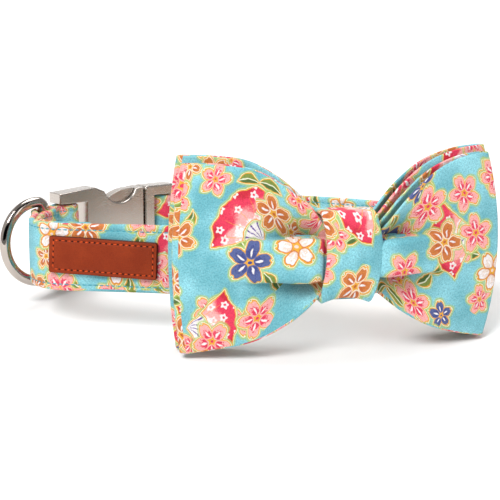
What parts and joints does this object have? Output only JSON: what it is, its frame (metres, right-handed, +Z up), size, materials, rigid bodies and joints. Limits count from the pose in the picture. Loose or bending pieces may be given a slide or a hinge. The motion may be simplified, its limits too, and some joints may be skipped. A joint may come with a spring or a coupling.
{
  "type": "pet bow tie collar",
  "caption": "Printed cotton pet collar with a layered bow tie, a stitched leather patch, a D ring and a metal side-release buckle, resting on a surface.",
  "frame": {"origin": "centre of the object's box on the surface that it rests on", "axes": "+X along the loop's long side to the bow's free end, +Y from the bow to the back of the loop, +Z up"},
  "size_m": [0.1872, 0.1184, 0.0695],
  "materials": {
    "printed_cotton": "teal plain-weave cotton with a multicolour blossom print",
    "elastic_band": "plain woven elastic",
    "patch_leather": "smooth rust-brown, low sheen",
    "satin_alloy": "satin nickel-plated",
    "bright_nickel": "polished"
  },
  "bodies": {
    "collar": {"collar_strap": "printed_cotton", "bow_front": "printed_cotton", "bow_rear": "printed_cotton", "bow_knot": "printed_cotton", "bow_keeper": "elastic_band", "leather_patch": "patch_leather", "buckle_socket": "satin_alloy", "buckle_plug": "satin_alloy"},
    "ring": {"d_ring": "bright_nickel"}
  },
  "joints": [
    {"name": "ring_swing", "type": "hinge", "parent": "collar", "child": "ring", "pos_m": [-0.07697, 0.00496, 0.02431], "axis": [0.0029, 0.1451, 0.9894], "range_deg": [-98, 12]}
  ]
}
